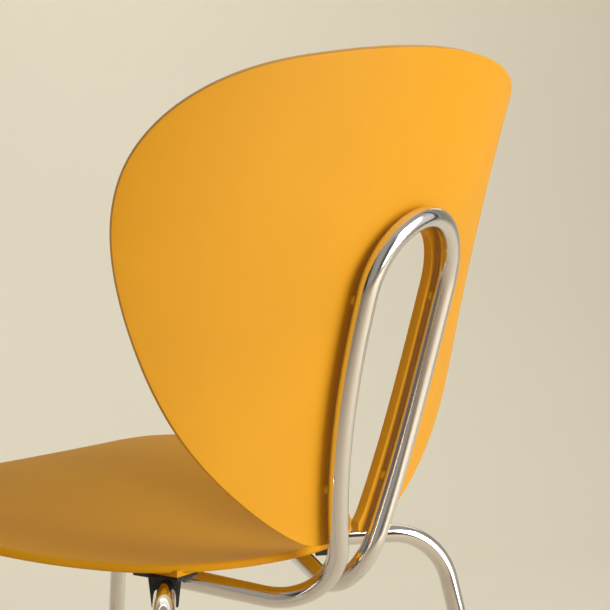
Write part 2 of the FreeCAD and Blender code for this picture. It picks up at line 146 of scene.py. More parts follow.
class CHAIR_PG_small(bpy.types.PropertyGroup):
    rear_reach: size("Rear saddle", 137.0, "Along the rear arm, from the apex point")
    front_reach: size("Front saddle", 150.0, "Along the front arm, from the apex point")
    plate_length: size("Plate length", 42.0, "Saddle plate, front to rear")
    plate_width: size("Plate width", 24.0, "Saddle plate, across")
    plate: size("Plate thickness", 3.6, "Thickness of the saddle plate")
    web: size("Web", 3.0, "Plate's top above the top of the tube")
    wall: size("Wall", 4.3, "Saddle wall on each side of the tube")
    length: size("Length", 24.0, "Saddle body along the tube")
    ear: size("Ear", 13.5, "Ear tips below the tube's centre")
    pitch: size("Screw pitch", 30.0, "Between the two screws of a saddle")
    glide_d: size("Glide", 22.0, "Diameter of the foot glides")
    glide_pad: size("Glide pad", 3.0, "Thickness of the pad on the floor")
    glide_neck: size("Glide neck", 9.0, "Height of the tapered neck")


class CHAIR_PG_look(bpy.types.PropertyGroup):
    shell: colour("Shell", (0.78, 0.365, 0.012), "Colour of both shells")
    black: colour("Saddle", (0.012, 0.012, 0.013), "Colour of the saddles and glides")
    wall: colour("Backdrop", (0.865, 0.82, 0.70), "Colour of the floor and the backdrop")
    light: FloatProperty(name="Light", default=1.0, min=0.0, description="Strength of the studio lights")


def chair():
    """The frame's sizes."""
    return bpy.context.scene.chair_frame


def props(name):
    """One of the property groups in GROUPS."""
    return getattr(bpy.context.scene, "chair_" + name)


# ---------------------------------------------------------------- curves
def hermite(a, b, slope_a, slope_b, t):
    """Cubic from a to b, with its slopes at t = 0 and t = 1."""
    return (a * (2 * t ** 3 - 3 * t ** 2 + 1) + slope_a * (t ** 3 - 2 * t ** 2 + t)
            + b * (3 * t ** 2 - 2 * t ** 3) + slope_b * (t ** 3 - t ** 2))


def cubic(points, samples):
    """Natural cubic curve through the points, with chord-length spacing."""
    p = np.asarray(points, float)
    u = np.concatenate([[0.0], np.cumsum(np.linalg.norm(np.diff(p, axis=0), axis=1))])
    h = np.diff(u)[:, None]
    n = len(p)
    system = np.eye(n)
    right = np.zeros_like(p)
    for i in range(1, n - 1):
        system[i, i - 1:i + 2] = h[i - 1, 0], 2 * (h[i - 1, 0] + h[i, 0]), h[i, 0]
        right[i] = 6 * ((p[i + 1] - p[i]) / h[i] - (p[i] - p[i - 1]) / h[i - 1])
    second = np.linalg.solve(system, right)
    at = np.linspace(0, u[-1], samples)
    k = np.clip(np.searchsorted(u, at, side="right") - 1, 0, n - 2)
    a, b = (u[k + 1] - at)[:, None], (at - u[k])[:, None]
    hk = h[k]
    return (second[k] * a ** 3 / (6 * hk) + second[k + 1] * b ** 3 / (6 * hk)
            + (p[k] / hk - second[k] * hk / 6) * a + (p[k + 1] / hk - second[k + 1] * hk / 6) * b)


def even(points, count):
    """The same line with evenly spaced points."""
    p = np.asarray(points, float)
    run = np.concatenate([[0.0], np.cumsum(np.linalg.norm(np.diff(p, axis=0), axis=1))])
    at = np.linspace(0, run[-1], count)
    return np.stack([np.interp(at, run, p[:, i]) for i in range(p.shape[1])], axis=1)


def bent(points, radii, step=3.0):
    """Straight runs through the points, joined by bends of the given centre-line radii."""
    points = [np.asarray(p, float) for p in points]
    line = [points[0]]
    for before, corner, after, radius in zip(points, points[1:], points[2:], radii):
        back = (before - corner) / np.linalg.norm(before - corner)
        ahead = (after - corner) / np.linalg.norm(after - corner)
        half = math.acos(float(np.clip(back @ ahead, -1, 1))) / 2
        middle = (back + ahead) / np.linalg.norm(back + ahead)
        centre = corner + middle * radius / math.sin(half)
        first = corner + back * radius / math.tan(half) - centre
        last = corner + ahead * radius / math.tan(half) - centre
        sweep = math.pi - 2 * half
        pieces = max(8, int(radius * sweep / step))
        for i in range(pieces + 1):
            t = i / pieces
            blend = math.sin((1 - t) * sweep) * first + math.sin(t * sweep) * last
            line.append(centre + blend / math.sin(sweep))
    line.append(points[-1])
    return line


def back_point(x, z):
    """Point on the rear face of the back shell."""
    b = props("back")
    rise = z - b.base_z
    wrap = b.wrap_base + (b.wrap_top - b.wrap_base) * rise / (b.top_z - b.base_z)
    y = b.base_y + b.lean * rise + rise ** 2 / (2 * b.bow)
    return np.array([x, y - wrap + math.sqrt(wrap ** 2 - x ** 2), z])


def back_normal(x, z):
    """Unit normal of the rear face, pointing rearward."""
    across = back_point(x + 1, z) - back_point(x - 1, z)
    upward = back_point(x, z + 1) - back_point(x, z - 1)
    normal = np.cross(upward, across)
    return normal / np.linalg.norm(normal)


def loop_half(z):
    """Half the distance between the loop's legs at a height below the top arc."""
    lo = props("loop")
    span = lo.top_z - lo.half_width - lo.base_z
    return hermite(lo.base_half, lo.half_width, lo.flare * span, 0, (z - lo.base_z) / span)


def loop_line():
    """Points (x, z) of the loop's +X half seen from the rear, from the base to the top."""
    lo = props("loop")
    arc_z = lo.top_z - lo.half_width
    points = [(loop_half(z), z) for z in np.linspace(lo.base_z, arc_z, 40)]
    for angle in np.linspace(0, math.pi / 2, 24)[1:]:
        points.append((lo.half_width * math.cos(angle), arc_z + lo.half_width * math.sin(angle)))
    return points


def loop_point(x, z):
    """Point on the loop's centre line, a gap and a tube radius behind the back shell."""
    return back_point(x, z) + back_normal(x, z) * (props("loop").gap + chair().tube / 2)


def arm(front):
    """Apex, arm direction, shoulder and foot of one leg tube's +X half."""
    f = chair()
    shoulder, foot = (f.front_shoulder, f.front_foot) if front else (f.rear_shoulder, f.rear_foot)
    z = f.front_arm_z if front else f.rear_arm_z
    apex = np.array([0, f.front_apex_y if front else f.rear_apex_y, z])
    shoulder = np.array([shoulder[0], shoulder[1], z])
    foot = np.array([foot[0], foot[1], 0.0])
    direction = (shoulder - apex) / np.linalg.norm(shoulder - apex)
    return apex, direction, shoulder, foot


def saddle_centre(front):
    """Where a saddle's middle lies on the arm's centre line, on the +X side."""
    apex, direction, _, _ = arm(front)
    small = props("small")
    return apex + direction * (small.front_reach if front else small.rear_reach)


# ---------------------------------------------------------------- mesh helpers
def clear_choice():
    """Object mode, with nothing selected."""
    if bpy.context.object and bpy.context.object.mode != "OBJECT":
        bpy.ops.object.mode_set(mode="OBJECT")
    bpy.ops.object.select_all(action="DESELECT")


def choose(obj):
    """Select one object and make it active."""
    clear_choice()
    obj.select_set(True)
    bpy.context.view_layer.objects.active = obj


def apply(obj, kind, **settings):
    """Add a modifier, set it and apply it."""
    choose(obj)
    mod = obj.modifiers.new(kind.title(), kind)
    for key, value in settings.items():
        setattr(mod, key, value)
    bpy.ops.object.modifier_apply(modifier=mod.name)


def join(objs, name):
    """Join objects into one with the given name."""
    clear_choice()
    for o in objs:
        o.select_set(True)
    bpy.context.view_layer.objects.active = objs[0]
    if len(objs) > 1:
        bpy.ops.object.join()
    objs[0].name = name
    return objs[0]


def settle(obj):
    """Put the object's placing into its mesh."""
    choose(obj)
    bpy.ops.object.transform_apply(location=True, rotation=True, scale=True)
    return obj


def smooth(obj, angle=38):
    """Shade smooth except across edges sharper than the angle, in degrees."""
    choose(obj)
    bpy.ops.object.shade_smooth_by_angle(angle=math.radians(angle))


def shaped_grid(name, rows):
    """A grid primitive whose points are moved onto rows x columns of positions in millimetres."""
    rows = np.asarray(rows, float)
    down, across = rows.shape[:2]
    clear_choice()
    bpy.ops.mesh.primitive_grid_add(x_subdivisions=across - 1, y_subdivisions=down - 1, size=2)
    obj = bpy.context.object
    obj.name = name
    co = rows.reshape(-1, 3) * MM
    obj.data.vertices.foreach_set("co", co.ravel())
    obj.data.update()
    return obj


def edit_all(obj, step):
    """Run one edit-mode step on the object's whole mesh."""
    choose(obj)
    bpy.ops.object.mode_set(mode="EDIT")
    bpy.ops.mesh.select_all(action="SELECT")
    step()
    bpy.ops.object.mode_set(mode="OBJECT")


def thicken(shell, thickness, rim):
    """Give a shell its thickness, in from its face, and its rounded rim."""
    apply(shell, "SOLIDIFY", thickness=thickness * MM, offset=-1.0, use_even_offset=True)
    apply(shell, "BEVEL", width=rim * MM, segments=5, limit_method="ANGLE", angle_limit=math.radians(RIM_ANGLE))
    smooth(shell, 45)


def tube(name, line, radius, caps=False):
    """Round bar along a line of points in millimetres."""
    clear_choice()
    bpy.ops.curve.primitive_nurbs_path_add()
    obj = bpy.context.object
    obj.name = name
    curve = obj.data
    curve.splines.clear()
    run = curve.splines.new("POLY")
    run.points.add(len(line) - 1)
    for point, place in zip(run.points, line):
        point.co = (place[0] * MM, place[1] * MM, place[2] * MM, 1)
    curve.dimensions = "3D"
    curve.twist_mode = "MINIMUM"
    curve.bevel_depth = radius * MM
    curve.bevel_resolution = 14
    curve.use_fill_caps = caps
    choose(obj)
    bpy.ops.object.convert(target="MESH")
    obj = bpy.context.object
    smooth(obj, 50)
    return obj


def turned(name, profile, base, axis, segments=48):
    """Spin a profile of (radius, height) pairs, in millimetres, round an axis from a base point."""
    clear_choice()
    bpy.ops.mesh.primitive_plane_add()
    obj = bpy.context.object
    obj.name = name
    bpy.ops.object.mode_set(mode="EDIT")
    bm = bmesh.from_edit_mesh(obj.data)
    bmesh.ops.delete(bm, geom=bm.verts[:], context="VERTS")
    verts = [bm.verts.new((r * MM, 0, h * MM)) for r, h in profile]
    for a, b in zip(verts, verts[1:]):
        bm.edges.new((a, b))
    bmesh.update_edit_mesh(obj.data)
    bpy.ops.mesh.select_all(action="SELECT")
    bpy.ops.mesh.spin(steps=segments, angle=2 * math.pi, center=(0, 0, 0), axis=(0, 0, 1))
    bpy.ops.mesh.remove_doubles(threshold=1e-6)
    bpy.ops.mesh.normals_make_consistent(inside=False)
    bpy.ops.object.mode_set(mode="OBJECT")
    turn = Vector((0, 0, 1)).rotation_difference(Vector([float(a) for a in axis])).to_matrix().to_4x4()
    obj.data.transform(Matrix.Translation(Vector([float(b) * MM for b in base])) @ turn)
    smooth(obj, 35)
    return obj


def block(width, length, height, centre, corner, edge):
    """A box with rounded upright corners and softened edges; sizes and centre in millimetres."""
    clear_choice()
    bpy.ops.mesh.primitive_cube_add(size=1)
    obj = bpy.context.object
    obj.scale = (width * MM, length * MM, height * MM)
    settle(obj)
    choose(obj)
    bpy.ops.object.mode_set(mode="EDIT")
    bm = bmesh.from_edit_mesh(obj.data)
    for e in bm.edges:
        a, b = e.verts
        e.select_set(abs(a.co.x - b.co.x) + abs(a.co.y - b.co.y) < 1e-7)
    bmesh.update_edit_mesh(obj.data)
    bpy.ops.mesh.bevel(offset=corner * MM, segments=6)
    bpy.ops.object.mode_set(mode="OBJECT")
    if edge:
        apply(obj, "BEVEL", width=edge * MM, segments=3, limit_method="ANGLE", angle_limit=math.radians(60))
    obj.data.transform(Matrix.Translation(Vector([float(c) * MM for c in centre])))
    smooth(obj)
    return obj


def finish_piece(obj, material, slot, *nodes):
    """Give the finished piece its material and its body, and hide its CAD nodes; the slot is not used."""
    obj.data.materials.clear()
    obj.data.materials.append(material)
    for poly in obj.data.polygons:
        poly.material_index = 0
    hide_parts(*nodes)
    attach(obj, "root")
    return obj


# ---------------------------------------------------------------- materials
class Nodes:
    """Short way to lay out a material's nodes."""

    def __init__(self, name, world=False):
        self.owner = bpy.data.worlds.new(name) if world else bpy.data.materials.new(name)
        self.owner.use_nodes = True
        self.tree = self.owner.node_tree
        self.tree.nodes.clear()

    def add(self, kind, inputs=None, **settings):
        """A node whose inputs are values or other nodes' outputs."""
        node = self.tree.nodes.new(kind)
        for key, value in settings.items():
            setattr(node, key, value)
        for key, value in (inputs or {}).items():
            if isinstance(value, bpy.types.NodeSocket):
                self.tree.links.new(value, node.inputs[key])
            else:
                node.inputs[key].default_value = value
        return node

    def place(self):
        return self.add("ShaderNodeTexCoord").outputs["Object"]

    def noise(self, scale, detail=3.0, rough=0.5):
        return self.add("ShaderNodeTexNoise", {"Vector": self.place(), "Scale": scale, "Detail": detail,
                                               "Roughness": rough}).outputs["Fac"]

    def spread(self, value, low, high, start=0.3, stop=0.7):
        """Spread a value's range from start to stop over low to high."""
        return self.add("ShaderNodeMapRange", {"Value": value, "From Min": start, "From Max": stop,
                                               "To Min": low, "To Max": high}).outputs["Result"]

    def tint(self, factor, one, two):
        """Mix of two colours."""
        mix = self.add("ShaderNodeMix", {0: factor}, data_type="RGBA")
        mix.inputs[6].default_value = (*one, 1)
        mix.inputs[7].default_value = (*two, 1)
        return mix.outputs[2]

    def bump(self, height, strength, distance, normal=None):
        inputs = {"Height": height, "Strength": strength, "Distance": distance}
        if normal:
            inputs["Normal"] = normal
        return self.add("ShaderNodeBump", inputs).outputs["Normal"]

    def surface(self, **inputs):
        """The owner, finished with a Principled shader."""
        shader = self.add("ShaderNodeBsdfPrincipled", inputs)
        out = self.add("ShaderNodeOutputMaterial")
        self.tree.links.new(shader.outputs[0], out.inputs["Surface"])
        return self.owner


def scaled(rgb, factor):
    return tuple(min(1.0, c * factor) for c in rgb)


def shell_material(name, shine, factor):
    """Moulded plastic with a very fine spark-eroded texture; a factor below one darkens its colour as painted
    shade.
    """
    n = Nodes(name)
    base = scaled(props("look").shell, factor)
    slow = n.spread(n.noise(9.0, 2.0), 0.0, 1.0)
    fine = n.noise(2600.0, 2.0, 0.6)
    grain = n.noise(900.0, 3.0, 0.6)
    waves = n.bump(n.noise(14.0, 2.0), 0.05, 0.002)
    normal = n.bump(fine, 0.16, 0.00012, n.bump(grain, 0.10, 0.0003, waves))
    return n.surface(**{"Base Color": n.tint(slow, scaled(base, 0.965), scaled(base, 1.03)),
                        "Roughness": n.spread(grain, 0.46, 0.56), "Specular IOR Level": shine,
                        "Normal": normal})


def chrome_material():
    """Bright plating with faint polishing marks and slow ripples."""
    n = Nodes("chrome_tube")
    base = tuple(chair().chrome)
    ripple = n.bump(n.noise(55.0, 1.0), 0.05, 0.0006)
    marks = n.noise(1800.0, 2.0, 0.6)
    return n.surface(**{"Base Color": n.tint(n.spread(n.noise(30.0), 0, 1), scaled(base, 0.97), base),
                        "Metallic": 1.0, "Roughness": n.spread(marks, 0.025, 0.075),
                        "Normal": n.bump(marks, 0.012, 0.00005, ripple)})


def black_material(name, low, high, grain_strength):
    """Moulded black plastic."""
    n = Nodes(name)
    base = tuple(props("look").black)
    grain = n.noise(1500.0, 3.0, 0.6)
    return n.surface(**{"Base Color": n.tint(n.spread(n.noise(60.0), 0, 1), base, scaled(base, 1.6)),
                        "Roughness": n.spread(grain, low, high), "IOR": 1.5,
                        "Normal": n.bump(grain, grain_strength, 0.0002)})


def steel_material():
    """Zinc-plated steel with fine turning marks."""
    n = Nodes("screw_steel")
    marks = n.noise(2400.0, 2.0, 0.7)
    zinc = n.tint(n.spread(n.noise(300.0), 0, 1), (0.50, 0.50, 0.49), (0.62, 0.62, 0.60))
    return n.surface(**{"Base Color": zinc,
                        "Metallic": 1.0, "Roughness": n.spread(marks, 0.20, 0.34),
                        "Normal": n.bump(marks, 0.1, 0.00005)})


# ---------------------------------------------------------------- operators
def back_rows(columns=180, rows=44):
    """Rear face of the back as a grid wrapped round the slot, from one lobe to the other."""
    b, lo = props("back"), props("loop")
    height = b.top_z - b.bottom_z
    slot_base = lo.base_half - b.slot_inset_base
    arc_z = lo.top_z - lo.half_width
    slot = []
    for x, z in loop_line():
        if z <= arc_z:
            share = 1 - (z - lo.base_z) / (arc_z - lo.base_z)
            slot.append((x - b.slot_inset - (b.slot_inset_base - b.slot_inset) * share ** 3, z))
        else:
            inner = 1 - b.slot_inset / lo.half_width
            slot.append((x * inner, arc_z + (z - arc_z) * inner))
    low = b.bottom_z + b.corner
    slot = [(slot_base, low)] + [p for p in slot if p[1] > low + 8]
    slot = even(cubic(slot, 400)[::-1], columns)
    # outline stations, as shares of the half width and of the height
    stations = ((0.0, 1.0), (0.25, 0.9935), (0.55, 0.967), (0.76, 0.928), (0.905, 0.86), (0.98, 0.775),
                (1.0, 0.678), (0.968, 0.55), (0.9, 0.43), (0.735, 0.253), (0.525, 0.124), (0.3, 0.031),
                (0.17, 0.001))
    outer = [(b.half_width * x, b.bottom_z + height * z) for x, z in stations]
    outer.append((slot_base + b.corner, b.bottom_z))
    both = [(-x, z) for x, z in reversed(outer[1:])] + outer
    curve = cubic(both, 2001)[1000:]
    curve[0, 0] = 0.0
    outer = even(curve, columns)
    slot[0, 0] = 0.0
    turn = np.linspace(0, math.pi / 2, rows)
    corner = np.stack([slot_base + b.corner * (1 - np.cos(turn)), low - b.corner * np.sin(turn)], axis=1)
    centre = np.stack([np.zeros(rows), np.linspace(slot[0, 1], outer[0, 1], rows)], axis=1)
    # patch between four boundary lines: slot and outline one way, centre line and lobe corner the other
    across = np.linspace(0, 1, columns)[None, :, None]
    down = np.linspace(0, 1, rows)[:, None, None]
    grid = ((1 - down) * slot[None] + down * outer[None]
            + (1 - across) * centre[:, None] + across * corner[:, None]
            - (1 - across) * (1 - down) * centre[0] - (1 - across) * down * centre[-1]
            - across * (1 - down) * corner[0] - across * down * corner[-1])
    full = np.concatenate([grid[:, :0:-1] * (-1, 1), grid], axis=1)
    return [[back_point(x, z) for x, z in row] for row in full]


class CHAIR_OT_back(bpy.types.Operator):
    """Make the back shell with its slot open at the bottom"""
    bl_idname = "chair.back"
    bl_label = "Back shell"

    def execute(self, context):
        b = props("back")
        shell = shaped_grid("back_shell_skin", back_rows())
        edit_all(shell, lambda: bpy.ops.mesh.normals_make_consistent(inside=False))
        if shell.data.polygons[0].normal.y < 0:
            shell.data.flip_normals()
        thicken(shell, b.thickness, b.rim)
        finish_piece(shell, shell_material("shell_yellow", 0.30, 1.0), "shell_yellow", "back_shell")
        return {"FINISHED"}


def seat_height(table, x, y):
    """Height of the seat's upper face at a place in plan."""
    rise = np.interp(y, table[:, 0], table[:, 2])
    return np.interp(y, table[:, 0], table[:, 1]) + rise * (x / props("seat").half_width) ** 2


def seat_table():
    """Heights of the seat's centre line and rises of its sides, from front to rear."""
    s = props("seat")
    side, mid, crest = s.side_rise, s.side_rise_mid, s.side_rise_crest
    beyond_rear = (s.rear_y + 20, s.rear_z + 3, side)
    beyond_front = (s.front_y - 15, s.front_z - 9, crest)
    line = [beyond_rear, (s.rear_y, s.rear_z, side), (s.rear_y - s.low_back, s.low_z, side),
            (s.rear_y - s.mid_back, s.mid_z, mid), (s.front_y + s.crest_back, s.crest_z, crest),
            (s.front_y, s.front_z, crest), beyond_front]
    return cubic(line, 600)[::-1]


def seat_rim(points=288):
    """Outline of the seat as a closed ring of evenly spaced points, from the rear."""
    s = props("seat")
    length = s.rear_y - s.front_y
    # outline stations, as shares of the half width and of the length from the rear edge
    stations = ((0.0, 0.0), (0.155, 0.012), (0.36, 0.062), (0.53, 0.135), (0.68, 0.232), (0.86, 0.375),
                (0.965, 0.53), (1.0, 0.69), (0.955, 0.865), (0.76, 0.962), (0.42, 0.993), (0.0, 1.0))
    half = [(s.half_width * x, s.rear_y - length * y) for x, y in stations]
    ring = half + [(-x, y) for x, y in reversed(half[1:-1])]
    # the curve runs past the start on both sides, so the ring closes smoothly
    curve = cubic(ring[-4:] + ring + ring[:5], 6000)
    start = np.argmin(np.linalg.norm(curve[:1500] - ring[0], axis=1))
    stop = 3000 + np.argmin(np.linalg.norm(curve[3000:] - ring[0], axis=1))
    rim = even(curve[start:stop + 1], points + 1)
    rim[-1] = rim[0]
    return rim


def seat_bosses(table):
    """The solid blocks under the seat that the saddles' plates meet."""
    s, small, blocks = props("seat"), props("small"), []
    for front in (False, True):
        centre = saddle_centre(front)
        low = centre[2] + chair().tube / 2 + small.web
        for side, _ in HANDS:
            x, y = centre[0] * side, centre[1]
            corners = [seat_height(table, x + i * small.plate_width / 2, y + j * small.plate_length / 2)
                       for i in (1, -1) for j in (1, -1)]
            high = min(corners) - s.thickness / 2
            if high > low + 1:
                middle = (x, y, (low + high) / 2)
                blocks.append(block(small.plate_width, small.plate_length, high - low, middle,
                                    PLATE_CORNER, 0.0))
    return blocks


class CHAIR_OT_seat(bpy.types.Operator):
    """Make the seat shell and the blocks that its saddles screw into"""
    bl_idname = "chair.seat"
    bl_label = "Seat shell"

    def execute(self, context):
        s = props("seat")
        rim, table = seat_rim(), seat_table()
        middle = np.array([0, (s.rear_y + s.front_y) / 2 - 30])
        rows = []
        for share in np.linspace(0, 1, 48):
            ring = middle + (rim - middle) * share
            rows.append([(x, y, seat_height(table, x, y)) for x, y in ring])
        shell = shaped_grid("seat_shell_skin", rows)
        edit_all(shell, lambda: bpy.ops.mesh.remove_doubles(threshold=1e-6))
        if sum(p.normal.z for p in shell.data.polygons) < 0:
            shell.data.flip_normals()
        thicken(shell, s.thickness, s.rim)
        parts = [shell] + seat_bosses(table)
        # The seat's copy of the shell plastic has its colour darkened by 0.97 and a weaker specular: painted
        # shade on the seat.
        seat = shell_material("seat_yellow_painted_shade", 0.06, 0.97)
        finish_piece(join(parts, "seat_shell_skin"), seat, "shell_yellow", "seat_shell")
        return {"FINISHED"}


def leg_line(front):
    """Centre line of a leg tube, from foot to foot."""
    f, small = chair(), props("small")
    apex, _, shoulder, foot = arm(front)
    end = foot + (shoulder - foot) * (small.glide_pad + small.glide_neck) / shoulder[2]
    return bent([end, shoulder, apex, shoulder * MIRROR, end * MIRROR],
                [f.shoulder_bend, f.apex_bend, f.shoulder_bend])


class CHAIR_OT_legs(bpy.types.Operator):
    """Make the two leg tubes and the strut between them"""
    bl_idname = "chair.legs"
    bl_label = "Leg tubes"

    def execute(self, context):
        f = chair()
        chrome = chrome_material()
        middles = []
        for front, name in ((False, "rear_leg_tube"), (True, "front_leg_tube")):
            line = leg_line(front)
            finish_piece(tube(name + "_skin", line, f.tube / 2), chrome, "chrome_tube", name)
            middles.append(min(line, key=lambda p: abs(p[0])))
        strut = tube("centre_strut_skin", middles, f.tube / 2)
        finish_piece(strut, chrome, "chrome_tube", "centre_strut")
        return {"FINISHED"}


class CHAIR_OT_loop(bpy.types.Operator):
    """Make the hairpin tube behind the back, with its forward runs"""
    bl_idname = "chair.loop"
    bl_label = "Back loop"

    def execute(self, context):
        f, lo = chair(), props("loop")
        half = [loop_point(x, z) for x, z in loop_line()]
        base = half[0]
        run = loop_point(loop_half(lo.base_z + 1), lo.base_z + 1) - base
        run /= np.linalg.norm(run)
        elbow = base - run * (base[2] - lo.elbow_z) / run[2]
        apex, direction, _, _ = arm(False)
        end = apex + direction * lo.joint_reach
        low = bent([end, elbow, base], [lo.elbow_bend])
        one = low[:-1] + half
        line = one + [p * MIRROR for p in reversed(one[:-1])]
        piece = tube("back_loop_skin", line, f.tube / 2)
        finish_piece(piece, bpy.data.materials["chrome_tube"], "chrome_tube", "back_loop_tube")
        return {"FINISHED"}


class CHAIR_OT_saddles(bpy.types.Operator):
    """Make the four saddles under the seat"""
    bl_idname = "chair.saddles"
    bl_label = "Saddles"

    def execute(self, context):
        f, small = chair(), props("small")
        black = black_material("saddle_black", 0.22, 0.34, 0.12)
        r = f.tube / 2
        top = r + small.web
        side = r + small.wall
        for front in (False, True):
            _, direction, _, _ = arm(front)
            centre = saddle_centre(front)
            for hand, word in HANDS:
                plate = block(small.plate_width, small.plate_length, small.plate, (0, 0, top - small.plate / 2),
                              PLATE_CORNER, 0.5)
                body = self.clip(r, top, side)
                turn = math.atan2(direction[1], direction[0] * hand)
                body.data.transform(Matrix.Rotation(turn, 4, "Z"))
                piece = join([plate, body], "saddle_skin")
                place = Vector((centre[0] * hand, centre[1], centre[2])) * MM
                piece.data.transform(Matrix.Translation(place))
                node = "saddle_%s_%s" % ("front" if front else "rear", word)
                piece.name = node + "_skin"
                finish_piece(piece, black, "saddle_black", node)
        return {"FINISHED"}

    def clip(self, r, top, side):
        """The body that holds a tube along X, tapered toward its ears and open below."""
        small = props("small")
        overlap, taper = 1.0, 0.22
        height = top - overlap + small.ear
        body = block(small.length, 2 * side, height, (0, 0, top - overlap - height / 2), 2.5, 0.8)
        for point in body.data.vertices:
            drop = min(max(-point.co.z / MM / small.ear, 0.0), 1.0)
            point.co.y *= 1 - taper * drop ** 1.5
        mouth = block(2 * small.length, 2 * r - 0.2, 2 * small.ear, (0, 0, -small.ear), 0.5, 0)
        rod = turned("rod", [(0, -40), (r + 0.05, -40), (r + 0.05, 40), (0, 40)], (0, 0, 0), (1, 0, 0), 64)
        for cutter in (mouth, rod):
            apply(body, "BOOLEAN", object=cutter, operation="DIFFERENCE", solver="EXACT")
            bpy.data.objects.remove(cutter)
        smooth(body, 35)
        return body


class CHAIR_OT_glides(bpy.types.Operator):
    """Make the four foot glides"""
    bl_idname = "chair.glides"
    bl_label = "Foot glides"

    def execute(self, context):
        f, small = chair(), props("small")
        black = black_material("glide_black", 0.42, 0.6, 0.25)
        r, pad = f.tube / 2, small.glide_d / 2
        for front in (False, True):
            _, _, shoulder, foot = arm(front)
            for hand, word in HANDS:
                mirror = np.array([hand, 1, 1])
                low, high = foot * mirror, shoulder * mirror
                axis = (high - low) / np.linalg.norm(high - low)
                length = (small.glide_pad + small.glide_neck) / axis[2]
                disc = turned("disc", [(0, 0), (pad - 0.8, 0), (pad - 0.2, 0.3), (pad, 1.0), (pad, 2.2),
                                       (pad - 0.5, 2.9), (pad - 1.6, 3.2), (0, 3.2)], low, (0, 0, 1))
                start = 2.6     # the neck begins inside the pad
                neck = turned("neck", [(0, 0), (pad - 1.6, 0), (pad - 2.0, 1.2), (r + 0.6, length - 4.2),
                                       (r, length - 2.7), (r - 0.1, length - start), (0, length - start)],
                              low + axis * start, axis)
                node = "glide_%s_%s" % ("front" if front else "rear", word)
                finish_piece(join([disc, neck], node + "_skin"), black, "glide_black", node)
        return {"FINISHED"}


class CHAIR_OT_fixings(bpy.types.Operator):
    """Make the back's screws and spacers and the seat's screws"""
    bl_idname = "chair.fixings"
    bl_label = "Fixings"

    def execute(self, context):
        b, small, f = props("back"), props("small"), chair()
        steel = steel_material()
        # profiles of (radius, height): a domed head with a socket, a spacer and a pan head with its shank
        dome = [(0, 1.1), (1.5, 1.1), (1.6, 2.55), (2.6, 2.45), (3.6, 2.0), (4.4, 1.1), (4.7, 0.2), (4.7, -0.3),
                (0, -0.3)]
        spacer = [(2.8, -0.4), (3.8, -0.4), (4.0, 0), (4.0, 2.6), (2.8, 2.6)]
        pan = [(0, 0.9), (0.9, 0.9), (1.1, -0.02), (3.6, -0.05), (3.8, 0.15), (2.2, 2.2), (2.0, 6.0), (0, 6.0)]
        heads, collars = [], []
        for z in (b.fix_high_z, b.fix_low_z):
            for side, _ in HANDS:
                x = side * loop_half(z)
                rear, normal = back_point(x, z), back_normal(x, z)
                heads.append(turned("head", dome, rear - normal * b.thickness, -normal))
                collars.append(turned("collar", spacer, rear, normal))
        finish_piece(join(heads, "back_screws_skin"), steel, "screw_steel", "back_screws")
        finish_piece(join(collars, "back_spacers_skin"), bpy.data.materials["shell_yellow"], "shell_yellow",
                     "back_spacers")
        heads = []
        for front in (False, True):
            centre = saddle_centre(front)
            low = centre[2] + f.tube / 2 + small.web - small.plate
            for hand, _ in HANDS:
                for end in (1, -1):
                    under = (centre[0] * hand, centre[1] + end * small.pitch / 2, low + 0.05)
                    heads.append(turned("head", pan, under, (0, 0, 1)))
        finish_piece(join(heads, "seat_screws_skin"), steel, "screw_steel", "seat_screws")
        return {"FINISHED"}


def lamp(name, place, target, width, height, power, tint):
    """A rectangular area lamp, in metres and watts, turned to its target."""
    clear_choice()
    bpy.ops.object.light_add(type="AREA", location=place)
    obj = bpy.context.object
    obj.name = name
    obj.data.shape = "RECTANGLE"
    obj.data.size = width
    obj.data.size_y = height
    obj.data.energy = power * props("look").light
    obj.data.color = tint
    obj.rotation_euler = (Vector(target) - Vector(place)).to_track_quat("-Z", "Y").to_euler()
    return obj


